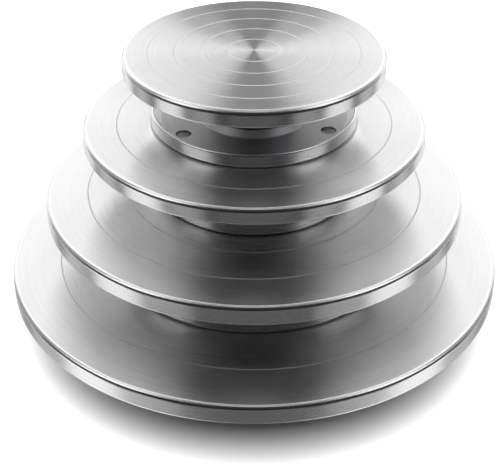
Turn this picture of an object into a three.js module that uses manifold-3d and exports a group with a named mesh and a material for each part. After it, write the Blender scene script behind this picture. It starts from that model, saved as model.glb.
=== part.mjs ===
// Cake turntables in four sizes, nested into one stack: each one stands on the plate of the next size up.
// A turntable is a turned aluminium plate on a low dished base. Between them a flanged hub, screwed up under
// the plate, turns on a ball bearing that a steel spindle carries, and the spindle is screwed to the base.
// Millimetres, +Z up. The origin is on the axis, in the plane that the lowest rubber feet stand on.
import * as THREE from "three";
import { mergeVertices } from "three/addons/utils/BufferGeometryUtils.js";
import Module from "manifold-3d";

const wasm = await Module();
wasm.setup();

// Driving dimensions. Each turntable is named for its plate's diameter, the largest one first.
const TURNTABLES = [
  { size: 300, baseDiameter: 180, height: 46, rimDepth: 12, sides: 40 },
  { size: 250, baseDiameter: 180, height: 46, rimDepth: 12, sides: 40 },
  { size: 200, baseDiameter: 120, height: 44, rimDepth: 10, sides: 32 },
  { size: 150, baseDiameter: 120, height: 43, rimDepth: 10, sides: 32 },
];

// Plate: a thin web with a deeper rim round its edge, open underneath.
const PLATE = { web: 4, rimWall: 3, topRadius: 2.3, bottomChamfer: 1 };

// Base: a shallow dish with its open side up and a conical boss in the middle.
const BASE = { lift: 1, floor: 2.5, rimTop: 9, rimWall: 2.7, fillet: 2.4 };
const BOSS = { footRadius: 32, topRadius: 28, top: 7 };

// Rubber foot: a pad under the base with a stud pushed up into a hole in its floor.
const FOOT = { padRadius: 6.5, studRadius: 4.2, studTop: 2.8, holeRadius: 4.5 };
const FOOT_RING = { inset: 12.5, count: 3, firstAngle: 93 };

// Ball bearing of the usual 20 x 47 x 14 size, the same one in every turntable.
const BEARING = { boreRadius: 10.3, outerRadius: 23.2, width: 14, pitchRadius: 16.75 };
const RACE = { shoulder: 2.35, grooveRadius: 4.4 };
const BEARING_DEPTH = 12; // from the plate's face down to the bearing's upper side
const BALL = { radius: 3.7, count: 8 };
const CAGE_RING = { radius: 17.2, halfWidth: 0.9, halfHeight: 1.4 };

// Hub: the bearing's housing, a barrel with a flange at its top.
const HUB = { barrelRadius: 26.5, boreRadius: 23.5, shoulderRadius: 20, clearance: 1 };
const FLANGE = { radius: 36, thickness: 4 };

// Pan-head screws that hold the hub's flange to the plate's web.
const HUB_SCREW = { shankRadius: 1.9, headRadius: 3.6, headEdge: 0.8, head: 2.4, bite: 2.6 };
const HUB_SCREW_RING = { radius: 31.5, count: 3, firstAngle: 33 };
const HUB_SCREW_HOLE = { radius: 2.2, tip: 0.3 };

// Spindle: a collar carries the bearing, and a spigot below it sits in the base's boss.
const SPINDLE = { radius: 10, collarRadius: 14, spigot: 3, topDepth: 9, topChamfer: 1 };
const SPINDLE_BORE = { radius: 4.3, depth: 12 };
const SPINDLE_GROOVE = { radius: 8.9, width: 1.6 };
const CIRCLIP = { outerRadius: 12.4, innerRadius: 9.5, thickness: 1.1, gap: 60, segments: 10 };
const SPINDLE_SCREW = { headRadius: 8, headDrop: 0.3, head: 2, shankRadius: 4, length: 14 };
const HEX_SOCKET = { radius: 3, depth: 1.2 };
const HOLE_PLAY = 0.3;

// Sides of the facets' polygons.
const CORE_SIDES = 20;
const BEARING_SIDES = 16;
const FOOT_SIDES = 10;
const SCREW_SIDES = 8;

const turnedAluminium = new THREE.MeshStandardMaterial({ color: 0xd2d3d5, roughness: 0.28, metalness: 1 });
const castAluminium = new THREE.MeshStandardMaterial({ color: 0xb9bbbd, roughness: 0.45, metalness: 1 });
const bearingSteel = new THREE.MeshStandardMaterial({ color: 0xc4c6c9, roughness: 0.18, metalness: 1 });
const zincSteel = new THREE.MeshStandardMaterial({ color: 0x9fa3a8, roughness: 0.4, metalness: 1 });
const rubber = new THREE.MeshStandardMaterial({ color: 0x2b2b2c, roughness: 0.9, metalness: 0 });

const radians = THREE.MathUtils.degToRad;

// Turns an outline of [radius, height] points about +Z. The outline runs anticlockwise, with +Z up the page.
function revolve(outline, sides) {
  const points = outline.map(([r, z]) => new THREE.Vector2(r, z));
  return new THREE.LatheGeometry(points, sides).rotateX(Math.PI / 2);
}

// The same for a ring, whose outline doesn't reach the axis and is closed on its first point.
function revolveRing(outline, sides) {
  return revolve([...outline, outline[0]], sides);
}

// Points on an arc in the outline's plane, both ends included, angles in degrees.
function arc(r, z, radius, from, to, steps) {
  return Array.from({ length: steps + 1 }, (_, i) => {
    const angle = radians(from + ((to - from) * i) / steps);
    return [r + radius * Math.cos(angle), z + radius * Math.sin(angle)];
  });
}

function solidOf(geometry) {
  const bare = new THREE.BufferGeometry().setAttribute("position", geometry.getAttribute("position"));
  bare.setIndex(geometry.index);
  const merged = mergeVertices(bare, 1e-3);
  return new wasm.Manifold(
    new wasm.Mesh({
      numProp: 3,
      vertProperties: new Float32Array(merged.attributes.position.array),
      triVerts: new Uint32Array(merged.index.array),
    }),
  );
}

function geometryOf(solid) {
  const mesh = solid.getMesh();
  return new THREE.BufferGeometry()
    .setAttribute("position", new THREE.BufferAttribute(mesh.vertProperties, 3))
    .setIndex(new THREE.BufferAttribute(mesh.triVerts, 1))
    .toNonIndexed();
}

function cut(geometry, cutters) {
  return geometryOf(cutters.reduce((solid, cutter) => solid.subtract(solidOf(cutter)), solidOf(geometry)));
}

// An upright cylinder from height bottom to height top.
function cylinder(radius, bottom, top, sides) {
  return revolve([[0, bottom], [radius, bottom], [radius, top], [0, top]], sides);
}

// The [x, y] places of evenly spaced pieces on a circle.
function spaced(radius, count, firstAngle) {
  return Array.from({ length: count }, (_, i) => {
    const angle = radians(firstAngle + (360 * i) / count);
    return [radius * Math.cos(angle), radius * Math.sin(angle)];
  });
}

function named(name, geometry, material) {
  geometry.deleteAttribute("uv");
  geometry.computeVertexNormals();
  const mesh = new THREE.Mesh(geometry, material);
  mesh.name = name;
  return mesh;
}

function plate({ size, height, rimDepth, sides }) {
  const radius = size / 2;
  const { web, rimWall, topRadius, bottomChamfer } = PLATE;
  const rimBottom = height - rimDepth;
  const body = revolve(
    [
      [0, height - web],
      [radius - rimWall, height - web],
      [radius - rimWall, rimBottom],
      [radius - bottomChamfer, rimBottom],
      [radius, rimBottom + bottomChamfer],
      ...arc(radius - topRadius, height - topRadius, topRadius, 0, 90, 2),
      [0, height],
    ],
    sides,
  );
  const holeTop = height - web + HUB_SCREW.bite + HUB_SCREW_HOLE.tip;
  return named(`plate_${size}`, cut(body, hubScrewHoles(height - web - 1, holeTop)), turnedAluminium);
}

function hubScrewPlaces() {
  return spaced(HUB_SCREW_RING.radius, HUB_SCREW_RING.count, HUB_SCREW_RING.firstAngle);
}

function hubScrewHoles(bottom, top) {
  const hole = cylinder(HUB_SCREW_HOLE.radius, bottom, top, SCREW_SIDES);
  return hubScrewPlaces().map(([x, y]) => hole.clone().translate(x, y, 0));
}

function base({ size, baseDiameter, sides }) {
  const radius = baseDiameter / 2;
  const floorTop = BASE.lift + BASE.floor;
  const inside = radius - BASE.rimWall;
  const body = revolve(
    [
      [0, BASE.lift],
      [radius, BASE.lift],
      [radius, BASE.rimTop],
      [inside, BASE.rimTop],
      [inside, floorTop + BASE.fillet],
      [inside - BASE.fillet, floorTop],
      [BOSS.footRadius, floorTop],
      [BOSS.topRadius, BOSS.top],
      [0, BOSS.top],
    ],
    sides,
  );
  const spigotBottom = BOSS.top - SPINDLE.spigot;
  const spigotHole = cylinder(SPINDLE.radius + HOLE_PLAY, spigotBottom, BOSS.top + 1, BEARING_SIDES);
  const footHole = cylinder(FOOT.holeRadius, 0, floorTop + 1, FOOT_SIDES);
  const footHoles = footPlaces(baseDiameter).map(([x, y]) => footHole.clone().translate(x, y, 0));
  return named(`base_${size}`, cut(body, [spigotHole, spindleScrewHole(), ...footHoles]), turnedAluminium);
}

// Countersunk clearance hole up through the base for the spindle's screw.
function spindleScrewHole() {
  const { headRadius, headDrop, head, shankRadius } = SPINDLE_SCREW;
  const wide = headRadius + HOLE_PLAY;
  const narrow = shankRadius + HOLE_PLAY;
  return revolve(
    [
      [0, 0],
      [wide, 0],
      [wide, BASE.lift + headDrop],
      [narrow, BASE.lift + headDrop + head],
      [narrow, BOSS.top],
      [0, BOSS.top],
    ],
    SCREW_SIDES,
  );
}

function footPlaces(baseDiameter) {
  return spaced(baseDiameter / 2 - FOOT_RING.inset, FOOT_RING.count, FOOT_RING.firstAngle);
}

function feet({ size, baseDiameter }) {
  const outline = [
    [0, 0],
    [FOOT.padRadius, 0],
    [FOOT.padRadius, BASE.lift],
    [FOOT.studRadius, BASE.lift],
    [FOOT.studRadius, FOOT.studTop],
    [0, FOOT.studTop],
  ];
  return footPlaces(baseDiameter).map(([x, y], i) => {
    const foot = named(`foot_${size}_${i + 1}`, revolve(outline, FOOT_SIDES), rubber);
    foot.position.set(x, y, 0);
    return foot;
  });
}

function hub({ size, height }) {
  const { barrelRadius, boreRadius, shoulderRadius, clearance } = HUB;
  const top = height - PLATE.web;
  const flangeBottom = top - FLANGE.thickness;
  const bottom = BOSS.top + clearance;
  const seat = height - BEARING_DEPTH;
  const body = revolveRing(
    [
      [boreRadius, bottom],
      [barrelRadius, bottom],
      [barrelRadius, flangeBottom],
      [FLANGE.radius, flangeBottom],
      [FLANGE.radius, top],
      [shoulderRadius, top],
      [shoulderRadius, seat],
      [boreRadius, seat],
    ],
    CORE_SIDES,
  );
  return named(`hub_${size}`, cut(body, hubScrewHoles(flangeBottom - 1, top + 1)), castAluminium);
}

function hubScrews({ size, height }) {
  const seat = height - PLATE.web - FLANGE.thickness;
  const tip = height - PLATE.web + HUB_SCREW.bite;
  const { shankRadius, headRadius, headEdge, head } = HUB_SCREW;
  const outline = [
    [0, seat - head],
    [headRadius - headEdge, seat - head],
    [headRadius, seat],
    [shankRadius, seat],
    [shankRadius, tip],
    [0, tip],
  ];
  return hubScrewPlaces().map(([x, y], i) => {
    const screw = named(`hub_screw_${size}_${i + 1}`, revolve(outline, SCREW_SIDES), zincSteel);
    screw.position.set(x, y, 0);
    return screw;
  });
}

// The bearing's two races, each a ring with a round groove for the balls.
function races({ size, height }) {
  const top = height - BEARING_DEPTH;
  const bottom = top - BEARING.width;
  const middle = (top + bottom) / 2;
  const { boreRadius, outerRadius, pitchRadius } = BEARING;
  const { shoulder, grooveRadius } = RACE;
  const spread = THREE.MathUtils.radToDeg(Math.acos(shoulder / grooveRadius));
  const outer = [
    [outerRadius, bottom],
    [outerRadius, top],
    [pitchRadius + shoulder, top],
    ...arc(pitchRadius, middle, grooveRadius, spread, -spread, 2),
    [pitchRadius + shoulder, bottom],
  ];
  const inner = [
    [pitchRadius - shoulder, bottom],
    ...arc(pitchRadius, middle, grooveRadius, 180 + spread, 180 - spread, 2),
    [pitchRadius - shoulder, top],
    [boreRadius, top],
    [boreRadius, bottom],
  ];
  return [
    named(`outer_race_${size}`, revolveRing(outer, CORE_SIDES), bearingSteel),
    named(`inner_race_${size}`, revolveRing(inner, BEARING_SIDES), bearingSteel),
  ];
}

// Balls held at even spacing by a ring through them, joined into one piece.
function ballCage({ size, height }) {
  const middle = height - BEARING_DEPTH - BEARING.width / 2;
  const { radius, halfWidth, halfHeight } = CAGE_RING;
  const ring = revolveRing(
    [
      [radius - halfWidth, middle - halfHeight],
      [radius + halfWidth, middle - halfHeight],
      [radius + halfWidth, middle + halfHeight],
      [radius - halfWidth, middle + halfHeight],
    ],
    BALL.count,
  );
  const joined = spaced(BEARING.pitchRadius, BALL.count, 0).reduce((solid, [x, y]) => {
    return solid.add(solidOf(new THREE.OctahedronGeometry(BALL.radius, 1).translate(x, y, middle)));
  }, solidOf(ring));
  return named(`ball_cage_${size}`, geometryOf(joined), bearingSteel);
}

function spindle({ size, height }) {
  const { radius, collarRadius, spigot, topDepth, topChamfer } = SPINDLE;
  const bottom = BOSS.top - spigot;
  const seat = height - BEARING_DEPTH - BEARING.width;
  const groove = height - BEARING_DEPTH;
  const top = height - topDepth;
  const body = revolve(
    [
      [0, bottom],
      [radius, bottom],
      [radius, BOSS.top],
      [collarRadius, BOSS.top],
      [collarRadius, seat],
      [radius, seat],
      [radius, groove],
      [SPINDLE_GROOVE.radius, groove],
      [SPINDLE_GROOVE.radius, groove + SPINDLE_GROOVE.width],
      [radius, groove + SPINDLE_GROOVE.width],
      [radius, top - topChamfer],
      [radius - topChamfer, top],
      [0, top],
    ],
    BEARING_SIDES,
  );
  const screwHole = cylinder(SPINDLE_BORE.radius, bottom - 1, bottom + SPINDLE_BORE.depth, SCREW_SIDES);
  return named(`spindle_${size}`, cut(body, [screwHole]), bearingSteel);
}

// Open retaining ring in the spindle's groove, over the inner race.
function circlip({ size, height }) {
  const { outerRadius, innerRadius, thickness, gap, segments } = CIRCLIP;
  const from = radians(gap / 2 - 90);
  const to = radians(270 - gap / 2);
  const shape = new THREE.Shape();
  shape.absarc(0, 0, outerRadius, from, to, false);
  shape.absarc(0, 0, innerRadius, to, from, true);
  shape.closePath();
  const options = { depth: thickness, bevelEnabled: false, curveSegments: segments };
  const ring = new THREE.ExtrudeGeometry(shape, options);
  ring.translate(0, 0, height - BEARING_DEPTH + (SPINDLE_GROOVE.width - thickness) / 2);
  return named(`circlip_${size}`, ring, zincSteel);
}

// Countersunk socket screw, up through the base into the spindle.
function spindleScrew({ size }) {
  const { headRadius, headDrop, head, shankRadius, length } = SPINDLE_SCREW;
  const face = BASE.lift + headDrop;
  const body = revolve(
    [
      [0, face],
      [headRadius, face],
      [shankRadius, face + head],
      [shankRadius, face + length],
      [0, face + length],
    ],
    SCREW_SIDES,
  );
  const hexSocket = cylinder(HEX_SOCKET.radius, face - 1, face + HEX_SOCKET.depth, 6);
  return named(`spindle_screw_${size}`, cut(body, [hexSocket]), zincSteel);
}

function turntable(spec) {
  const group = new THREE.Group();
  const turning = [plate(spec), hub(spec), ...hubScrews(spec)];
  const standing = [base(spec), spindle(spec), circlip(spec), spindleScrew(spec), ...feet(spec)];
  group.add(...turning, ...races(spec), ballCage(spec), ...standing);
  return group;
}

const stack = new THREE.Group();
TURNTABLES.reduce((level, spec) => {
  const group = turntable(spec);
  group.position.z = level;
  stack.add(group);
  return level + spec.height;
}, 0);

export default stack;
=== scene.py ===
"""Looks for a nested stack of four spun-aluminium cake turntables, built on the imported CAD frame.

Metres, +Z up, the turning axis on Z. Sizes are read from the CAD nodes' own boxes, or come from the
values below, in millimetres.
"""

import math

import bmesh
import bpy
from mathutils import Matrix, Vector


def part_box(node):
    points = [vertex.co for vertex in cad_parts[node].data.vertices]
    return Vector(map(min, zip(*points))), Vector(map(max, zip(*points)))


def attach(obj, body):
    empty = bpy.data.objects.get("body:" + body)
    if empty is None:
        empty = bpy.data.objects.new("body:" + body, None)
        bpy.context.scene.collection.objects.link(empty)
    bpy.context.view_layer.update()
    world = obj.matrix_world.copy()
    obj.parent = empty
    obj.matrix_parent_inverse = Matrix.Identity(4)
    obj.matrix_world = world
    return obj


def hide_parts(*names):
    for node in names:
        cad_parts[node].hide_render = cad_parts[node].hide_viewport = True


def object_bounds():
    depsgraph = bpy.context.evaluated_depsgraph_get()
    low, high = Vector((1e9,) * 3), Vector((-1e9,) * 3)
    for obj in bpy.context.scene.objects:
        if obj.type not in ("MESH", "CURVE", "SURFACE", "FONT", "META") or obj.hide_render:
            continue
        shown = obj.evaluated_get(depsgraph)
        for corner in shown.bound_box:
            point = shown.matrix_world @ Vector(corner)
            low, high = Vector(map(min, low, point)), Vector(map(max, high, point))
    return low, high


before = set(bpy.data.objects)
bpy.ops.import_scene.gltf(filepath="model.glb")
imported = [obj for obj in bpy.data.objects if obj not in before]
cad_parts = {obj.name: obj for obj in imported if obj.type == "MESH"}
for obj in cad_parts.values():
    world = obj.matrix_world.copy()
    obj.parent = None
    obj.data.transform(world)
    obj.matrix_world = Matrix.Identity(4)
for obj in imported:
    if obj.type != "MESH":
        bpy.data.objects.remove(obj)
cad_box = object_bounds()

SIZES = (300, 250, 200, 150)
MM = 0.001
FULL_TURN = 2 * math.pi

# Sizes in millimetres. Radii, heights and depths that a CAD node's box gives are read from it instead.
EDGE_BREAK = 0.3
SOFT_EDGE = 0.8
PLAY = 0.2

# Plate: a flat web, a rim turned down round it, and rings cut in the face, wide enough to show.
PLATE_WEB = 4.0
PLATE_RIM_WALL = 3.0
PLATE_TOP_FILLET = 2.6
PLATE_FOOT_FILLET = 1.3
PLATE_INNER_FILLET = 1.5
PLATE_INNER_EDGE = 0.7
GROOVES = 4
GROOVE_WIDTH = 1.0
GROOVE_DEPTH = 0.12

# Base: a dish with a boss in the middle and a lip round it, which steps down to a ledge inside.
BASE_FLOOR = 2.5
BASE_LIP = 2.7
BASE_LEDGE = 3.4
BASE_LEDGE_DROP = 3.2
BASE_EDGE = 1.2
BASE_INNER_FILLET = 1.0
BOSS_FOOT = 32.0
BOSS_FOOT_FILLET = 1.5
BOSS_TOP_RADIUS = 28.0

# Spindle, and the countersunk screw that holds it down from under the base.
SPIGOT = 3.0
SPIGOT_RADIUS = 10.0
SPINDLE_CHAMFER = 1.0
RING_GROOVE = 1.6
RING_GROOVE_DEPTH = 1.1
SINK_RADIUS = 8.3
SCREW_RADIUS = 4.0
SCREW_HEAD_DROP = 0.3
SCREW_HEAD_DEPTH = 2.3
SCREW_BORE_DEPTH = 12.0
DRILL_POINT = 1.5
HEX_RADIUS = 3.0
HEX_DEPTH = 1.2

# Feet: a pad under the base and a stud up through it.
FEET = 3
FOOT_ANGLE = 93.0
FOOT_INSET = 12.5
FOOT_PAD_RADIUS = 6.5
STUD_RADIUS = 4.2

# Hub, and the pan-head screws through its flange.
FLANGE_THICKNESS = 4.0
FLANGE_FILLET = 2.0
BARREL_RADIUS = 26.5
HUB_BORE = 23.5
HUB_SHOULDER = 20.0
HUB_SCREWS = 3
HUB_SCREW_ANGLE = 33.0
HUB_SCREW_CIRCLE = 31.5
HUB_SCREW_HEAD = 3.6
HUB_SCREW_DOME = 1.3
HUB_SCREW_SHANK = 1.9
CROSS_HALF_WIDTH = 0.45
CROSS_ARM = 2.0
CROSS_DEPTH = 1.3
CROSS_TAPER = 0.7

# Retaining ring: angles in degrees.
CLIP_BORE = 9.5
CLIP_BAND_RADIUS = 11.7
CLIP_EAR_RADIUS = 12.4
CLIP_HALF_GAP = 30.0
CLIP_EAR_ANGLE = 22.0
CLIP_HOLE_SHARE = 0.4
PLIER_HOLE = 0.7

# Ball bearing.
BALLS = 8
BALL_CIRCLE = 16.75
BALL_RADIUS = 3.7
TRACK_RADIUS = 4.4
RACE_SHOULDER = 2.35
RACE_BORE = 10.3
RACE_EDGE = 0.8
CAGE_RADIUS = 17.2
CAGE_HALF_WIDTH = 0.9
CAGE_HALF_HEIGHT = 1.4

# Fineness of the solids. HOLD is how far outside a fillet the flat beside it is pinned, CLEAR how far
# a cutter stands out of what it cuts, and WELD how near two corners are made one, all in mm.
PLATE_SIDES = 256
CORE_SIDES = 128
SMALL_SIDES = 48
BALL_SIDES = 24
ARC_STEPS = 6
TRACK_STEPS = 12
BALL_STEPS = 16
CLIP_STEPS = 96
CREASE_ANGLE = 40.0
HOLD = 0.15
CLEAR = 1.0
WELD = 0.0005

# How steeply a face may tilt, as the Z of its normal, to count as flat, as an edge or as a shallow ring.
FLAT = (0.9, 1.0)
SLOPING = (0.06, 0.998)
GROOVED = (0.8, 0.9995)
ANY_TILT = (0.0, 1.0)


# ---------------------------------------------------------------- node trees

def add_node(tree, kind, settings=None, inputs=None):
    """Adds a node, sets its own properties, and gives each named or numbered input a value or a link."""
    made = tree.nodes.new(kind)
    for name, value in (settings or {}).items():
        setattr(made, name, value)
    for key, value in (inputs or {}).items():
        if isinstance(value, bpy.types.NodeSocket):
            tree.links.new(value, made.inputs[key])
        else:
            made.inputs[key].default_value = value
    return made


def new_tree(name, sockets):
    """A geometry tree with a geometry input and output, and the named inputs that `sockets` lists."""
    tree = bpy.data.node_groups.new(name, "GeometryNodeTree")
    tree.interface.new_socket("Geometry", in_out="INPUT", socket_type="NodeSocketGeometry")
    tree.interface.new_socket("Geometry", in_out="OUTPUT", socket_type="NodeSocketGeometry")
    for socket_name, socket_type in sockets:
        tree.interface.new_socket(socket_name, in_out="INPUT", socket_type=socket_type)
    return tree, tree.nodes.new("NodeGroupInput").outputs, tree.nodes.new("NodeGroupOutput").inputs


def turning_tree():
    """Turns an outline about Z: the outline's points are rows of a grid, and each column is one side."""
    sockets = [("Sides", "NodeSocketInt"), ("Material", "NodeSocketMaterial")]
    tree, given, result = new_tree("turn outline about Z", sockets)
    outline = given["Geometry"]
    size = add_node(tree, "GeometryNodeAttributeDomainSize", inputs={"Geometry": outline})
    rows = size.outputs["Point Count"]
    one_more = {0: given["Sides"], 1: 1.0}
    columns = add_node(tree, "ShaderNodeMath", {"operation": "ADD"}, one_more).outputs[0]
    grid = add_node(tree, "GeometryNodeMeshGrid", inputs={"Vertices X": rows, "Vertices Y": columns})
    number = add_node(tree, "GeometryNodeInputIndex").outputs[0]
    share = add_node(tree, "ShaderNodeMath", {"operation": "DIVIDE"}, {0: number, 1: columns}).outputs[0]
    row = add_node(tree, "ShaderNodeMath", {"operation": "FLOOR"}, {0: share}).outputs[0]
    side = add_node(tree, "ShaderNodeMath", {"operation": "MODULO"}, {0: number, 1: columns}).outputs[0]
    step = add_node(tree, "ShaderNodeMath", {"operation": "DIVIDE"}, {0: FULL_TURN, 1: given["Sides"]})
    angle = add_node(tree, "ShaderNodeMath", {"operation": "MULTIPLY"}, {0: side, 1: step.outputs[0]})
    place = add_node(tree, "GeometryNodeInputPosition").outputs[0]
    sample = {"Geometry": outline, "Value": place, "Index": row}
    point = add_node(tree, "GeometryNodeSampleIndex", {"data_type": "FLOAT_VECTOR"}, sample)
    turn = {"Vector": point.outputs["Value"], "Angle": angle.outputs[0]}
    target = add_node(tree, "ShaderNodeVectorRotate", {"rotation_type": "Z_AXIS"}, turn)
    spread = {"Geometry": grid.outputs["Mesh"], "Position": target.outputs[0]}
    wrapped = add_node(tree, "GeometryNodeSetPosition", inputs=spread)
    doubles = {"Geometry": wrapped.outputs[0], "Distance": WELD * MM}
    closed = add_node(tree, "GeometryNodeMergeByDistance", inputs=doubles)
    outward = add_node(tree, "GeometryNodeFlipFaces", inputs={"Mesh": closed.outputs[0]})
    finish_tree(tree, outward.outputs[0], given, result)
    return tree


def ring_tree():
    """Sets copies of a piece evenly round a circle about Z, each turned to face out from the axis."""
    sockets = [
        ("Count", "NodeSocketInt"),
        ("Radius", "NodeSocketFloat"),
        ("First angle", "NodeSocketFloat"),
        ("Material", "NodeSocketMaterial"),
    ]
    tree, given, result = new_tree("copies round Z", sockets)
    circle = add_node(tree, "GeometryNodeMeshCircle", inputs={"Vertices": given["Count"]})
    number = add_node(tree, "GeometryNodeInputIndex").outputs[0]
    step = add_node(tree, "ShaderNodeMath", {"operation": "DIVIDE"}, {0: FULL_TURN, 1: given["Count"]})
    turn = {0: number, 1: step.outputs[0], 2: given["First angle"]}
    angle = add_node(tree, "ShaderNodeMath", {"operation": "MULTIPLY_ADD"}, turn).outputs[0]
    facing = add_node(tree, "ShaderNodeCombineXYZ", inputs={"Z": angle}).outputs[0]
    start = add_node(tree, "ShaderNodeCombineXYZ", inputs={"X": given["Radius"]}).outputs[0]
    swung = {"Vector": start, "Angle": angle}
    place = add_node(tree, "ShaderNodeVectorRotate", {"rotation_type": "Z_AXIS"}, swung).outputs[0]
    spread = {"Geometry": circle.outputs[0], "Position": place}
    points = add_node(tree, "GeometryNodeSetPosition", inputs=spread).outputs[0]
    set_out = {"Points": points, "Instance": given["Geometry"], "Rotation": facing}
    copies = add_node(tree, "GeometryNodeInstanceOnPoints", inputs=set_out)
    finish_tree(tree, copies.outputs[0], given, result)
    return tree


def finish_tree(tree, geometry, given, result):
    """Ends a tree: its copies are made real, and all of it takes the material given."""
    whole = add_node(tree, "GeometryNodeRealizeInstances", inputs={"Geometry": geometry}).outputs[0]
    paint = {"Geometry": whole, "Material": given["Material"]}
    painted = add_node(tree, "GeometryNodeSetMaterial", inputs=paint)
    tree.links.new(painted.outputs[0], result["Geometry"])


# ---------------------------------------------------------------- mesh helpers

def linked(name, mesh):
    made = bpy.data.objects.new(name, mesh)
    bpy.context.scene.collection.objects.link(made)
    return made


def grown(name, mesh, tree, values):
    """A plain mesh: what the tree makes of `mesh` with these named inputs."""
    worker = linked(name + "_worker", mesh)
    modifier = worker.modifiers.new("grow", "NODES")
    modifier.node_group = tree
    for item in tree.interface.items_tree:
        if item.in_out == "INPUT" and item.name in values:
            modifier[item.identifier] = values[item.name]
    bpy.context.view_layer.update()
    evaluated = worker.evaluated_get(bpy.context.evaluated_depsgraph_get())
    result = bpy.data.meshes.new_from_object(evaluated)
    bpy.data.objects.remove(worker)
    result.name = name
    return result


def corner_arc(before, corner, after, radius):
    """Points that round a corner off, with a point just outside each end that keeps the flats flat."""
    back = (before - corner).normalized()
    ahead = (after - corner).normalized()
    half = back.angle(ahead) / 2
    reach = radius / math.tan(half)
    centre = corner + (back + ahead).normalized() * (radius / math.sin(half))
    first = corner + back * reach - centre
    sweep = math.pi - 2 * half
    turn = sweep if first.to_2d().cross((corner - centre).to_2d()) > 0 else -sweep
    arc = []
    for i in range(ARC_STEPS + 1):
        angle = turn * i / ARC_STEPS
        cosine, sine = math.cos(angle), math.sin(angle)
        arc.append(centre + Vector((first.x * cosine - first.y * sine, first.x * sine + first.y * cosine)))
    return [corner + back * (reach + HOLD), *arc, corner + ahead * (reach + HOLD)]


def rounded(corners, closed=False):
    """An outline in mm from (radius, height) corners; a third number rounds that corner."""
    places = [Vector(c[:2]) for c in corners]
    outline = []
    for i, c in enumerate(corners):
        fillet = c[2] if len(c) > 2 else 0
        if fillet:
            outline += corner_arc(places[i - 1], places[i], places[(i + 1) % len(places)], fillet)
        else:
            outline.append(places[i])
    return outline + outline[:1] if closed else outline


def turned(name, outline, material, sides):
    """A smooth solid from an outline in mm, turned about Z, with its hard corners kept."""
    mesh = bpy.data.meshes.new(name + "_outline")
    points = [(p.x * MM, 0, p.y * MM) for p in outline]
    mesh.from_pydata(points, [(i, i + 1) for i in range(len(points) - 1)], [])
    result = grown(name, mesh, TURNING, {"Sides": sides, "Material": material})
    result.set_sharp_from_angle(angle=math.radians(CREASE_ANGLE))
    return result


def cylinder_outline(radius, bottom, top):
    """Half the section of a plain cylinder, in mm."""
    return [Vector((0, bottom)), Vector((radius, bottom)), Vector((radius, top)), Vector((0, top))]


def ringed(name, mesh, count, radius, first_angle, material):
    """Copies of `mesh` round a circle of `radius` mm, the first at `first_angle` degrees."""
    values = {
        "Count": count,
        "Radius": radius * MM,
        "First angle": math.radians(first_angle),
        "Material": material,
    }
    return grown(name, mesh, RING, values)


def joined(name, *meshes):
    """Several meshes as one, all in the first one's material."""
    shape = bmesh.new()
    for mesh in meshes:
        shape.from_mesh(mesh)
    result = bpy.data.meshes.new(name)
    shape.to_mesh(result)
    shape.free()
    result.materials.append(meshes[0].materials[0])
    return result


def moved(mesh, x, y):
    """The mesh itself, shifted level by metres."""
    for vertex in mesh.vertices:
        vertex.co += Vector((x, y, 0))
    return mesh


def raised(name, corners, bottom, top, material, taper=1.0):
    """A block in mm: a flat outline carried up to `top`, where it is `taper` times its size."""
    shape = bmesh.new()
    face = shape.faces.new([shape.verts.new((x * MM, y * MM, bottom * MM)) for x, y in corners])
    for part in bmesh.ops.extrude_face_region(shape, geom=[face])["geom"]:
        if isinstance(part, bmesh.types.BMVert):
            part.co = (part.co.x * taper, part.co.y * taper, top * MM)
    bmesh.ops.recalc_face_normals(shape, faces=shape.faces)
    mesh = bpy.data.meshes.new(name)
    shape.to_mesh(mesh)
    shape.free()
    mesh.materials.append(material)
    return mesh


def cut_away(name, mesh, cutter):
    """`mesh` less `cutter`, both plain meshes."""
    worker = linked(name + "_worker", mesh)
    tool = linked(name + "_tool", cutter)
    modifier = worker.modifiers.new("cut", "BOOLEAN")
    modifier.operation = "DIFFERENCE"
    modifier.solver = "EXACT"
    modifier.object = tool
    bpy.context.view_layer.update()
    evaluated = worker.evaluated_get(bpy.context.evaluated_depsgraph_get())
    result = bpy.data.meshes.new_from_object(evaluated)
    bpy.data.objects.remove(worker)
    bpy.data.objects.remove(tool)
    result.name = name
    result.set_sharp_from_angle(angle=math.radians(CREASE_ANGLE))
    return result


def finish_faces(mesh, material, radii, heights, tilts):
    """Another finish for the faces within a range of radius and height, in mm, and of tilt."""
    mesh.materials.append(material)
    index = len(mesh.materials) - 1
    for face in mesh.polygons:
        centre = face.center / MM
        measures = (math.hypot(centre.x, centre.y), centre.z, abs(face.normal.z))
        if all(low <= value <= high for value, (low, high) in zip(measures, (radii, heights, tilts))):
            face.material_index = index


def numbered(stem, count):
    """The names of a CAD node's numbered copies."""
    return [f"{stem}_{i + 1}" for i in range(count)]


def fit(mesh, body, replaced):
    """Puts a finished piece on its body, in place of the CAD nodes that it stands for."""
    piece = linked(mesh.name, mesh)
    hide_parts(*replaced)
    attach(piece, body)


# ---------------------------------------------------------------- materials

# The direction that a turned finish's grain follows.
ROUND_THE_AXIS = {"direction_type": "RADIAL", "axis": "Z"}


def linear(hex_colour):
    """An sRGB hex colour as linear red, green, blue and alpha."""
    channels = [int(hex_colour[i : i + 2], 16) / 255 for i in (1, 3, 5)]
    return (*((c / 12.92 if c <= 0.04045 else ((c + 0.055) / 1.055) ** 2.4) for c in channels), 1.0)


def new_material(name, settings):
    """A material, its tree and its shader, with the shader's constants set on its own sockets."""
    material = bpy.data.materials.new(name)
    material.use_nodes = True
    tree = material.node_tree
    shader = tree.nodes["Principled BSDF"]
    for socket, value in settings.items():
        shader.inputs[socket].default_value = value
    return material, tree, shader


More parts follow.
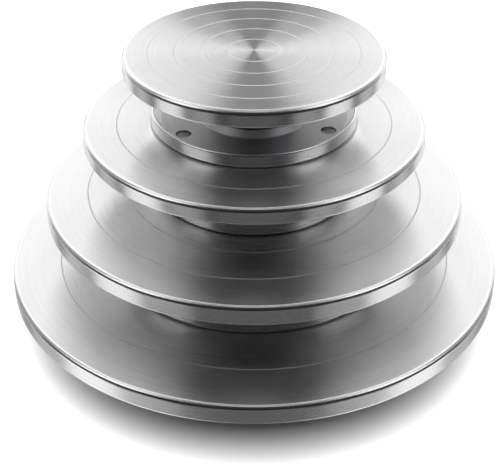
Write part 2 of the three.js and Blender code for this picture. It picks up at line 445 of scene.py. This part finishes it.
def lathe_rings(tree, spacing, waves, seed):
    """Fine rings round the axis: `spacing` mm apart, fading in and out `waves` times in a full turn."""
    place = add_node(tree, "ShaderNodeTexCoord").outputs["Object"]
    in_mm = add_node(tree, "ShaderNodeVectorMath", {"operation": "SCALE"}, {0: place, "Scale": 1 / MM})
    level = {0: in_mm.outputs[0], 1: (1, 1, 0)}
    flat = add_node(tree, "ShaderNodeVectorMath", {"operation": "MULTIPLY"}, level)
    radius = add_node(tree, "ShaderNodeVectorMath", {"operation": "LENGTH"}, {0: flat.outputs[0]})
    height = add_node(tree, "ShaderNodeSeparateXYZ", inputs={0: in_mm.outputs[0]}).outputs["Z"]
    along = {0: radius.outputs["Value"], 1: height}
    across = add_node(tree, "ShaderNodeMath", {"operation": "ADD"}, along).outputs[0]
    number = add_node(tree, "ShaderNodeMath", {"operation": "DIVIDE"}, {0: across, 1: spacing}).outputs[0]
    outward = add_node(tree, "ShaderNodeVectorMath", {"operation": "NORMALIZE"}, {0: flat.outputs[0]})
    round_axis = {0: outward.outputs[0], 1: (waves, waves, 0), 2: (seed, seed, 0)}
    faded = add_node(tree, "ShaderNodeVectorMath", {"operation": "MULTIPLY_ADD"}, round_axis).outputs[0]
    noise = {"Vector": faded, "W": number, "Scale": 1.0, "Detail": 2.0, "Roughness": 0.5}
    return add_node(tree, "ShaderNodeTexNoise", {"noise_dimensions": "4D"}, noise).outputs[0]


def grain(tree, size, seed):
    """Soft cloudy noise about `size` mm across."""
    place = add_node(tree, "ShaderNodeTexCoord").outputs["Object"]
    noise = {"Vector": place, "W": seed, "Scale": 1 / (size * MM), "Detail": 3.0}
    return add_node(tree, "ShaderNodeTexNoise", {"noise_dimensions": "4D"}, noise).outputs[0]


def finish(tree, shader, pattern, colours, roughness, depth=0.0, relief=None):
    """Lets a pattern carry a finish between two hex colours and between two roughnesses.

    The pattern is raised by `depth` mm, or `relief`, another pattern, is raised in its place.
    """
    spread = {"Value": pattern, "From Min": 0.3, "From Max": 0.7}
    clipped = add_node(tree, "ShaderNodeMapRange", inputs=spread).outputs[0]
    ends = {"Factor": clipped, 6: linear(colours[0]), 7: linear(colours[1])}
    blend = add_node(tree, "ShaderNodeMix", {"data_type": "RGBA"}, ends)
    tree.links.new(blend.outputs[2], shader.inputs["Base Color"])
    ends = {"Value": clipped, "To Min": roughness[0], "To Max": roughness[1]}
    rough = add_node(tree, "ShaderNodeMapRange", inputs=ends)
    tree.links.new(rough.outputs[0], shader.inputs["Roughness"])
    if depth:
        raising = {"Height": relief or pattern, "Distance": depth * MM}
        bump = add_node(tree, "ShaderNodeBump", inputs=raising)
        tree.links.new(bump.outputs[0], shader.inputs["Normal"])


def spun_aluminium():
    """Aluminium faced on a lathe and brushed as it spun.

    The brush's rings spread each highlight out from the axis, so the face shows fans of light that meet
    in the middle. Real rings are finer than 0.1 mm; they are drawn at 0.5 mm, coarse enough to show.
    """
    settings = {"Metallic": 1.0, "Anisotropic": 1.0, "Anisotropic Rotation": 0.25}
    material, tree, shader = new_material("spun aluminium, brushed", settings)
    rings = lathe_rings(tree, 0.5, 1.2, 3.0)
    finish(tree, shader, rings, ("#dfdfe0", "#ebebec"), (0.27, 0.31), 0.0015)
    tangent = add_node(tree, "ShaderNodeTangent", ROUND_THE_AXIS)
    tree.links.new(tangent.outputs[0], shader.inputs["Tangent"])
    return material


def turned_aluminium():
    """Aluminium turned with a sharp tool, on rims and dishes: a satin that still mirrors its neighbours."""
    settings = {"Metallic": 1.0, "Anisotropic": 0.7, "Anisotropic Rotation": 0.25}
    material, tree, shader = new_material("turned aluminium, satin", settings)
    rings = lathe_rings(tree, 0.4, 1.5, 5.0)
    finish(tree, shader, rings, ("#dfdfe0", "#ececec"), (0.25, 0.31), 0.0006)
    tangent = add_node(tree, "ShaderNodeTangent", ROUND_THE_AXIS)
    tree.links.new(tangent.outputs[0], shader.inputs["Tangent"])
    return material


def raw_aluminium_painted_shade():
    """Aluminium as the roughing tool left it, inside the dishes: duller, and painted darker as shade under
    the plate.
    """
    material, tree, shader = new_material("turned aluminium, unpolished, painted darker for shade", {"Metallic": 1.0})
    rings = lathe_rings(tree, 0.6, 1.5, 4.0)
    # These colours are darker than the faces' to paint in the shade that falls in the dish under the plate
    # above.
    finish(tree, shader, rings, ("#cfcfd0", "#dededf"), (0.34, 0.42), 0.004)
    return material


def polished_aluminium():
    """Aluminium edges cut with a diamond tool and buffed: a crisp line that mirrors light and dark."""
    settings = {"Metallic": 1.0, "Anisotropic": 0.82, "Anisotropic Rotation": 0.0}
    material, tree, shader = new_material("aluminium, diamond-cut edge", settings)
    rings = lathe_rings(tree, 0.3, 2.5, 6.0)
    finish(tree, shader, rings, ("#f0f0f0", "#f7f7f7"), (0.19, 0.22))
    tangent = add_node(tree, "ShaderNodeTangent", ROUND_THE_AXIS)
    tree.links.new(tangent.outputs[0], shader.inputs["Tangent"])
    return material


def scribed_aluminium():
    """The floor of a ring cut with a blunt form tool: a soft pale line that takes light from all round."""
    material, tree, shader = new_material("aluminium, form-tooled ring", {"Metallic": 1.0})
    rings = lathe_rings(tree, 0.3, 2.0, 7.0)
    finish(tree, shader, rings, ("#e6e6e7", "#f2f2f3"), (0.5, 0.6))
    return material


def cast_aluminium():
    """Die-cast aluminium, shot-blasted: an even grey satin with a fine grain of about half a millimetre."""
    material, tree, shader = new_material("cast aluminium, shot-blasted", {"Metallic": 1.0})
    clouds, blasted = grain(tree, 14.0, 8.0), grain(tree, 0.6, 5.0)
    finish(tree, shader, clouds, ("#a9abae", "#bcbec0"), (0.42, 0.56), 0.02, blasted)
    return material


def ground_steel():
    """Bearing steel, ground and lapped: dark and bright, with hair-fine rings, drawn at 0.4 mm to show."""
    material, tree, shader = new_material("bearing steel, ground", {"Metallic": 1.0})
    rings = lathe_rings(tree, 0.4, 2.0, 9.0)
    finish(tree, shader, rings, ("#a4a7ab", "#c2c5c8"), (0.14, 0.24), 0.002)
    return material


def zinc_steel():
    """Steel with a bright zinc plate: a cool, slightly cloudy grey."""
    material, tree, shader = new_material("steel, bright zinc plated", {"Metallic": 1.0})
    clouds, crystals = grain(tree, 3.0, 2.0), grain(tree, 0.5, 4.0)
    finish(tree, shader, clouds, ("#9ba1a8", "#bcc1c6"), (0.28, 0.42), 0.003, crystals)
    return material


def grey_rubber():
    """Moulded silicone rubber: matt pale grey with a faint bloom and a fine moulded grain."""
    material, tree, shader = new_material("silicone rubber, moulded", {"IOR": 1.41})
    bloom, moulded = grain(tree, 6.0, 7.0), grain(tree, 0.7, 1.0)
    finish(tree, shader, bloom, ("#bcbcbd", "#cacacb"), (0.62, 0.8), 0.015, moulded)
    return material


# ---------------------------------------------------------------- pieces

def groove(radius, top):
    """A shallow round-bottomed ring in the plate's face, from its outer edge to its inner edge."""
    outer = radius + GROOVE_WIDTH / 2
    shares = [i / ARC_STEPS for i in range(ARC_STEPS + 1)]
    hollow = [
        Vector((outer - GROOVE_WIDTH * share, top - GROOVE_DEPTH * math.sin(math.pi * share)))
        for share in shares
    ]
    return [Vector((outer + HOLD, top)), *hollow, Vector((outer - GROOVE_WIDTH - HOLD, top))]


def sizes_of(node):
    """A turned CAD node's radius, bottom and top, in mm."""
    low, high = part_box(node)
    return (high.x - low.x) / 2 / MM, low.z / MM, high.z / MM


def plate_mesh(size):
    """The plate: a flat web with a turned-down rim, four shallow rings cut in its brushed face."""
    radius, bottom, top = sizes_of(f"plate_{size}")
    web = top - PLATE_WEB
    inside = radius - PLATE_RIM_WALL
    outline = rounded([
        (0, web),
        (inside, web, PLATE_INNER_FILLET),
        (inside, bottom, PLATE_INNER_EDGE),
        (radius, bottom, PLATE_FOOT_FILLET),
        (radius, top, PLATE_TOP_FILLET),
        (0, top),
    ])[:-1]
    for ring in range(GROOVES, 0, -1):
        outline += groove(radius * ring / (GROOVES + 1), top)
    outline.append(Vector((0, top)))
    mesh = turned(f"turned_plate_{size}", outline, TURNED, PLATE_SIDES)
    finish_faces(mesh, SPUN, (0, radius), (top - 2 * GROOVE_DEPTH, top), FLAT)
    finish_faces(mesh, SCRIBED, (0, radius), (top - 2 * GROOVE_DEPTH, top), GROOVED)
    finish_faces(mesh, POLISHED, (radius - PLATE_TOP_FILLET, radius), (bottom, top), SLOPING)
    return mesh


def base_mesh(size):
    """The dish with its centre bored for the spindle's spigot and screw, and holes for the feet's studs."""
    radius, bottom, top = sizes_of(f"base_{size}")
    floor = bottom + BASE_FLOOR
    spigot_bottom = sizes_of(f"spindle_{size}")[1]
    boss_top = spigot_bottom + SPIGOT
    lip = radius - BASE_LIP
    ledge = top - BASE_LEDGE_DROP
    outline = rounded([
        (SINK_RADIUS, bottom, EDGE_BREAK),
        (radius, bottom, BASE_EDGE),
        (radius, top, BASE_EDGE),
        (lip, top, BASE_EDGE),
        (lip, ledge, BASE_EDGE / 2),
        (lip - BASE_LEDGE, floor, BASE_INNER_FILLET),
        (BOSS_FOOT, floor, BOSS_FOOT_FILLET),
        (BOSS_TOP_RADIUS, boss_top, SOFT_EDGE),
        (SPIGOT_RADIUS + PLAY, boss_top, EDGE_BREAK),
        (SPIGOT_RADIUS + PLAY, spigot_bottom),
        (SCREW_RADIUS + PLAY, spigot_bottom),
        (SCREW_RADIUS + PLAY, bottom + SCREW_HEAD_DEPTH),
        (SINK_RADIUS, bottom + SCREW_HEAD_DROP),
    ], closed=True)
    dish = turned(f"dish_{size}", outline, TURNED, PLATE_SIDES)
    through = cylinder_outline(STUD_RADIUS + PLAY, bottom - CLEAR, floor + CLEAR)
    stud_hole = turned("stud_hole", through, TURNED, SMALL_SIDES)
    holes = ringed("stud_holes", stud_hole, FEET, radius - FOOT_INSET, FOOT_ANGLE, TURNED)
    mesh = cut_away(f"turned_base_{size}", dish, holes)
    # The inside of the dish takes the darker finish, which paints in the shade under the plate above.
    finish_faces(mesh, RAW_PAINTED_SHADE, (0, lip - BASE_LEDGE / 2), (floor - PLAY, top), ANY_TILT)
    finish_faces(mesh, POLISHED, (lip, radius), (ledge, top), (SLOPING[0], 1))
    finish_faces(mesh, POLISHED, (lip, radius), (bottom, floor), SLOPING)
    return mesh


def feet_mesh(size):
    """Three feet: a flat pad with a soft edge, and a round-nosed stud up through the dish."""
    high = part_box(f"foot_{size}_1")[1].z / MM
    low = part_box(f"foot_{size}_1")[0].z / MM
    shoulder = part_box(f"base_{size}")[0].z / MM
    outline = rounded([
        (0, low),
        (FOOT_PAD_RADIUS, low, EDGE_BREAK),
        (FOOT_PAD_RADIUS, shoulder, EDGE_BREAK),
        (STUD_RADIUS, shoulder),
        (STUD_RADIUS, high, SOFT_EDGE),
        (0, high),
    ])
    foot = turned("foot", outline, RUBBER, SMALL_SIDES)
    circle = sizes_of(f"base_{size}")[0] - FOOT_INSET
    return ringed(f"rubber_feet_{size}", foot, FEET, circle, FOOT_ANGLE, RUBBER)


def hub_mesh(size):
    """The bearing's housing: a barrel under a flange, with a cast fillet between them."""
    flange, bottom, top = sizes_of(f"hub_{size}")
    flange_bottom = top - FLANGE_THICKNESS
    seat = sizes_of(f"outer_race_{size}")[2]
    outline = rounded([
        (HUB_BORE, bottom, EDGE_BREAK),
        (BARREL_RADIUS, bottom, SOFT_EDGE),
        (BARREL_RADIUS, flange_bottom, FLANGE_FILLET),
        (flange, flange_bottom, SOFT_EDGE),
        (flange, top, EDGE_BREAK),
        (HUB_SHOULDER, top, EDGE_BREAK),
        (HUB_SHOULDER, seat),
        (HUB_BORE, seat),
    ], closed=True)
    return turned(f"cast_hub_{size}", outline, CAST, CORE_SIDES)


def cross_recess(seat):
    """A plus-shaped cutter that narrows as it goes up from `seat` into a screw's head."""
    half, arm = CROSS_HALF_WIDTH, CROSS_ARM
    corners = [(half, half), (half, arm), (-half, arm), (-half, half), (-arm, half), (-arm, -half)]
    corners += [(-x, -y) for x, y in corners]
    return raised("cross_recess", corners, seat - CLEAR, seat + CROSS_DEPTH, ZINC, CROSS_TAPER)


def hub_screws_mesh(size):
    """Three pan-head screws, heads down, through the flange into the plate's web."""
    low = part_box(f"hub_screw_{size}_1")[0].z / MM
    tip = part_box(f"hub_screw_{size}_1")[1].z / MM
    seat = sizes_of(f"hub_{size}")[2] - FLANGE_THICKNESS
    outline = rounded([
        (0, low),
        (HUB_SCREW_HEAD, low, HUB_SCREW_DOME),
        (HUB_SCREW_HEAD, seat),
        (HUB_SCREW_SHANK, seat),
        (HUB_SCREW_SHANK, tip, EDGE_BREAK),
        (0, tip),
    ])
    screw = turned("pan_head_screw", outline, ZINC, SMALL_SIDES)
    screw = cut_away("pan_head_screw", screw, cross_recess(low))
    return ringed(f"hub_screws_{size}", screw, HUB_SCREWS, HUB_SCREW_CIRCLE, HUB_SCREW_ANGLE, ZINC)


def race_groove(middle, first, last):
    """The ball track in a race's side, from one angle to another, in degrees."""
    centre = Vector((BALL_CIRCLE, middle))
    track = []
    for i in range(TRACK_STEPS + 1):
        angle = math.radians(first + (last - first) * i / TRACK_STEPS)
        track.append(centre + TRACK_RADIUS * Vector((math.cos(angle), math.sin(angle))))
    return track


def outer_race_mesh(size):
    """The bearing's outer ring, with the ball track ground in its bore."""
    radius, bottom, top = sizes_of(f"outer_race_{size}")
    land = BALL_CIRCLE + RACE_SHOULDER
    spread = math.degrees(math.acos(RACE_SHOULDER / TRACK_RADIUS))
    ring = rounded([
        (land, bottom, EDGE_BREAK),
        (radius, bottom, RACE_EDGE),
        (radius, top, RACE_EDGE),
        (land, top, EDGE_BREAK),
    ])
    outline = ring + race_groove((bottom + top) / 2, spread, -spread) + ring[:1]
    return turned(f"ground_outer_race_{size}", outline, STEEL, CORE_SIDES)


def inner_race_mesh(size):
    """The bearing's inner ring, with the ball track ground round its outside."""
    bottom, top = sizes_of(f"inner_race_{size}")[1:]
    land = BALL_CIRCLE - RACE_SHOULDER
    spread = math.degrees(math.acos(RACE_SHOULDER / TRACK_RADIUS))
    ring = rounded([
        (land, top, EDGE_BREAK),
        (RACE_BORE, top, RACE_EDGE),
        (RACE_BORE, bottom, RACE_EDGE),
        (land, bottom, EDGE_BREAK),
    ])
    outline = ring + race_groove((bottom + top) / 2, 180 + spread, 180 - spread) + ring[:1]
    return turned(f"ground_inner_race_{size}", outline, STEEL, CORE_SIDES)


def ball_cage_mesh(size):
    """The balls, evenly spaced, with the pressed ring that keeps them apart."""
    low, high = (corner.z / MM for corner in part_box(f"ball_cage_{size}"))
    middle = (low + high) / 2
    angles = [math.pi * i / BALL_STEPS for i in range(BALL_STEPS + 1)]
    half_circle = [Vector((BALL_RADIUS * math.sin(a), middle - BALL_RADIUS * math.cos(a))) for a in angles]
    ball = turned("ball", half_circle, STEEL, BALL_SIDES)
    balls = ringed("balls", ball, BALLS, BALL_CIRCLE, 0.0, STEEL)
    band = rounded([
        (CAGE_RADIUS - CAGE_HALF_WIDTH, middle - CAGE_HALF_HEIGHT, EDGE_BREAK),
        (CAGE_RADIUS + CAGE_HALF_WIDTH, middle - CAGE_HALF_HEIGHT, EDGE_BREAK),
        (CAGE_RADIUS + CAGE_HALF_WIDTH, middle + CAGE_HALF_HEIGHT, EDGE_BREAK),
        (CAGE_RADIUS - CAGE_HALF_WIDTH, middle + CAGE_HALF_HEIGHT, EDGE_BREAK),
    ], closed=True)
    return joined(f"balls_and_cage_{size}", balls, turned("cage", band, STEEL, CORE_SIDES))


def spindle_mesh(size):
    """The spindle: a collar under the bearing, a groove for the retaining ring and a spigot in the boss."""
    collar, bottom, top = sizes_of(f"spindle_{size}")
    seat, groove_bottom = sizes_of(f"inner_race_{size}")[1:]
    groove_top = groove_bottom + RING_GROOVE
    boss_top = bottom + SPIGOT
    neck = SPIGOT_RADIUS - RING_GROOVE_DEPTH
    outline = rounded([
        (0, bottom + SCREW_BORE_DEPTH),
        (SCREW_RADIUS + PLAY, bottom + SCREW_BORE_DEPTH - DRILL_POINT),
        (SCREW_RADIUS + PLAY, bottom, EDGE_BREAK),
        (SPIGOT_RADIUS, bottom, EDGE_BREAK),
        (SPIGOT_RADIUS, boss_top),
        (collar, boss_top, EDGE_BREAK),
        (collar, seat, EDGE_BREAK),
        (SPIGOT_RADIUS, seat),
        (SPIGOT_RADIUS, groove_bottom),
        (neck, groove_bottom),
        (neck, groove_top),
        (SPIGOT_RADIUS, groove_top),
        (SPIGOT_RADIUS, top, SPINDLE_CHAMFER),
        (0, top),
    ])
    return turned(f"ground_spindle_{size}", outline, STEEL, CORE_SIDES)


def circlip_mesh(size):
    """A retaining ring: a flat spring band, wider at its two ends, each with a hole for the pliers."""
    bottom, top = (corner.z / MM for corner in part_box(f"circlip_{size}"))
    sweep = 360 - 2 * CLIP_HALF_GAP
    outer_arc, inner_arc = [], []
    for i in range(CLIP_STEPS + 1):
        along = sweep * i / CLIP_STEPS
        angle = math.radians(along + CLIP_HALF_GAP - 90)
        swell = max(0.0, 1 - min(along, sweep - along) / CLIP_EAR_ANGLE)
        radius = CLIP_BAND_RADIUS + (CLIP_EAR_RADIUS - CLIP_BAND_RADIUS) * math.sin(swell * math.pi / 2)
        outer_arc.append((radius * math.cos(angle), radius * math.sin(angle)))
        inner_arc.append((CLIP_BORE * math.cos(angle), CLIP_BORE * math.sin(angle)))
    band = raised("band", outer_arc + inner_arc[::-1], bottom, top, ZINC)
    middle = (CLIP_BORE + CLIP_EAR_RADIUS) / 2 * MM
    for side in (-1, 1):
        angle = math.radians(side * (CLIP_HALF_GAP + CLIP_EAR_ANGLE * CLIP_HOLE_SHARE) - 90)
        bore = cylinder_outline(PLIER_HOLE, bottom - CLEAR, top + CLEAR)
        hole = turned("plier_hole", bore, ZINC, BALL_SIDES)
        hole = moved(hole, middle * math.cos(angle), middle * math.sin(angle))
        band = cut_away(f"retaining_ring_{size}", band, hole)
    return band


def spindle_screw_mesh(size):
    """A countersunk screw with a hexagon socket in its head, driven up through the base."""
    head, bottom, top = sizes_of(f"spindle_screw_{size}")
    outline = rounded([
        (0, bottom),
        (head, bottom),
        (SCREW_RADIUS, bottom + SCREW_HEAD_DEPTH - SCREW_HEAD_DROP),
        (SCREW_RADIUS, top, EDGE_BREAK),
        (0, top),
    ])
    screw = turned("socket_screw", outline, ZINC, SMALL_SIDES)
    hollow = cylinder_outline(HEX_RADIUS, bottom - CLEAR, bottom + HEX_DEPTH)
    socket = turned("hexagon_socket", hollow, ZINC, 6)
    return cut_away(f"socket_screw_{size}", screw, socket)


TURNING = turning_tree()
RING = ring_tree()
SPUN = spun_aluminium()
TURNED = turned_aluminium()
RAW_PAINTED_SHADE = raw_aluminium_painted_shade()
SCRIBED = scribed_aluminium()
POLISHED = polished_aluminium()
CAST = cast_aluminium()
STEEL = ground_steel()
ZINC = zinc_steel()
RUBBER = grey_rubber()

for size in SIZES:
    turning, standing = f"plate_{size}", f"base_{size}"
    fit(plate_mesh(size), turning, [f"plate_{size}"])
    fit(hub_mesh(size), turning, [f"hub_{size}"])
    fit(hub_screws_mesh(size), turning, numbered(f"hub_screw_{size}", HUB_SCREWS))
    fit(outer_race_mesh(size), turning, [f"outer_race_{size}"])
    fit(ball_cage_mesh(size), f"ball_cage_{size}", [f"ball_cage_{size}"])
    fit(inner_race_mesh(size), standing, [f"inner_race_{size}"])
    fit(spindle_mesh(size), standing, [f"spindle_{size}"])
    fit(circlip_mesh(size), standing, [f"circlip_{size}"])
    fit(spindle_screw_mesh(size), standing, [f"spindle_screw_{size}"])
    fit(base_mesh(size), standing, [f"base_{size}"])
    fit(feet_mesh(size), standing, numbered(f"foot_{size}", FEET))


# ---------------------------------------------------------------- room, light and camera

# Metres. The lights face a point on the axis, about half-way up the stack.
ROOM_RADIUS = 1.6
AIM_HEIGHT = 0.1
FLOOR_HALF = 0.9

# A panel near the zenith is made at least this share as wide as one on the level.
NARROWEST = 0.35

# A white sheet just forward of the zenith lights the table, but isn't mirrored in the metal.
SHEET_SIDE = 3.4
SHEET_BRIGHTNESS = 4.6
SHEET_DIRECTION = Vector((0, -0.05, 1)).normalized()

# How bright the bare room is, in front of the stack and behind it.
ROOM_FRONT = 0.015
ROOM_BACK = 0.12

# The camera: its lens and sensor in mm, and how far in metres it stands in front of the axis and above
# the stack's top, and how many degrees it looks down.
SENSOR = 36
LENS = 79.93
LENS_SHIFT = -0.0082
CAMERA_FORWARD = 0.5782
CAMERA_ABOVE = 0.2623
CAMERA_DOWN = 33.81

# Soft panels round the stack, which its metal mirrors. For each: azimuth from and to, in degrees round
# from straight behind the stack, elevation from and to, and brightness, where 1 is a white sheet.
# A panel to one side has its twin on the other.
PANELS = {
    "back strip": (-5, 5, -30, 50, 0.17),
    "near back panel": (6, 30, 9, 50, 1.42),
    "near back low panel": (6, 30, -30, 8, 0.8),
    "far back panel": (31, 55, -30, 50, 1.0),
    "low back panel": (12, 50, -75, -31, 0.75),
    "side panel": (56, 84, -15, 40, 0.25),
    "low side panel": (56, 84, -75, -16, 0.55),
    "high side panel": (22, 100, 51, 74, 0.86),
    "front side panel": (85, 122, -75, -16, 1.15),
    "upper front side panel": (92, 130, 24, 56, 1.3),
    "low front panel": (123, 150, -75, -16, 0.35),
    "front panel": (151, 209, -75, -16, 0.1),
    "overhead panel": (-11, 11, 57, 84, 0.6),
    "forward overhead panel": (150, 210, 64, 88, 0.45),
}


def add_table():
    """White laminate under the stack: matt and even. The metal mirrors the panels, not the table."""
    settings = {"Base Color": linear("#f7f7f7"), "Roughness": 0.7}
    material = new_material("white laminate, matt", settings)[0]
    mesh = bpy.data.meshes.new("table")
    signs = ((-1, -1), (1, -1), (1, 1), (-1, 1))
    mesh.from_pydata([(x * FLOOR_HALF, y * FLOOR_HALF, 0) for x, y in signs], [], [(0, 1, 2, 3)])
    mesh.materials.append(material)
    table = linked("table", mesh)
    table.visible_glossy = False
    table.visible_shadow = False


def soft_light(name, direction, width, height, brightness):
    """A flat light that faces the stack and that the camera doesn't see."""
    light = bpy.data.lights.new(name, "AREA")
    light.shape = "RECTANGLE"
    light.size = width
    light.size_y = height
    light.energy = brightness * math.pi * width * height
    lamp = linked(name, light)
    lamp.location = direction * ROOM_RADIUS + Vector((0, 0, AIM_HEIGHT))
    lamp.rotation_euler = (-direction).to_track_quat("-Z", "Y").to_euler()
    lamp.visible_camera = False
    return lamp


def add_panel(name, side, azimuths, elevations, brightness):
    """A panel that the metal mirrors and that lights nothing matt; `side` is 1, or -1 for a twin."""
    azimuth = math.radians(sum(azimuths) / 2) * side
    elevation = math.radians(sum(elevations) / 2)
    level = math.cos(elevation)
    direction = Vector((math.sin(azimuth) * level, math.cos(azimuth) * level, math.sin(elevation)))
    width = 2 * ROOM_RADIUS * math.tan(math.radians(azimuths[1] - azimuths[0]) / 2)
    width *= max(level, NARROWEST)
    height = 2 * ROOM_RADIUS * math.tan(math.radians(elevations[1] - elevations[0]) / 2)
    panel = soft_light(name, direction, width, height, brightness)
    panel.visible_diffuse = False


def add_lights():
    for name, (start, end, low, high, brightness) in PANELS.items():
        for side in (1, -1) if 0 < start < 150 else (1,):
            add_panel(name, side, (start, end), (low, high), brightness)
    sheet = soft_light("sheet over the table", SHEET_DIRECTION, SHEET_SIDE, SHEET_SIDE, SHEET_BRIGHTNESS)
    sheet.visible_glossy = False


def add_world():
    """A dim room for the metal to mirror, and a white backdrop for the camera."""
    world = bpy.data.worlds.new("studio")
    bpy.context.scene.world = world
    world.use_nodes = True
    tree = world.node_tree
    direction = add_node(tree, "ShaderNodeTexCoord").outputs["Generated"]
    behind = add_node(tree, "ShaderNodeSeparateXYZ", inputs={0: direction}).outputs["Y"]
    ends = {"Value": behind, "From Min": -1.0, "To Min": ROOM_FRONT, "To Max": ROOM_BACK}
    dim = add_node(tree, "ShaderNodeMapRange", inputs=ends).outputs[0]
    seen = add_node(tree, "ShaderNodeLightPath").outputs["Is Camera Ray"]
    strength = add_node(tree, "ShaderNodeMapRange", inputs={"Value": seen, "To Min": dim}).outputs[0]
    background = tree.nodes["Background"]
    background.inputs["Color"].default_value = linear("#ffffff")
    tree.links.new(strength, background.inputs["Strength"])


def add_camera():
    data = bpy.data.cameras.new("camera")
    data.sensor_width = SENSOR
    data.lens = LENS
    data.shift_x = LENS_SHIFT
    camera = linked("camera", data)
    camera.location = (0, -CAMERA_FORWARD, cad_box[1][2] + CAMERA_ABOVE)
    camera.rotation_euler = (math.radians(90 - CAMERA_DOWN), 0, 0)
    bpy.context.scene.camera = camera


add_table()
add_world()
add_lights()
add_camera()
bpy.context.scene.view_settings.view_transform = "Standard"
# The metal throws no bright patches on the table or on its neighbours.
bpy.context.scene.cycles.caustics_reflective = False
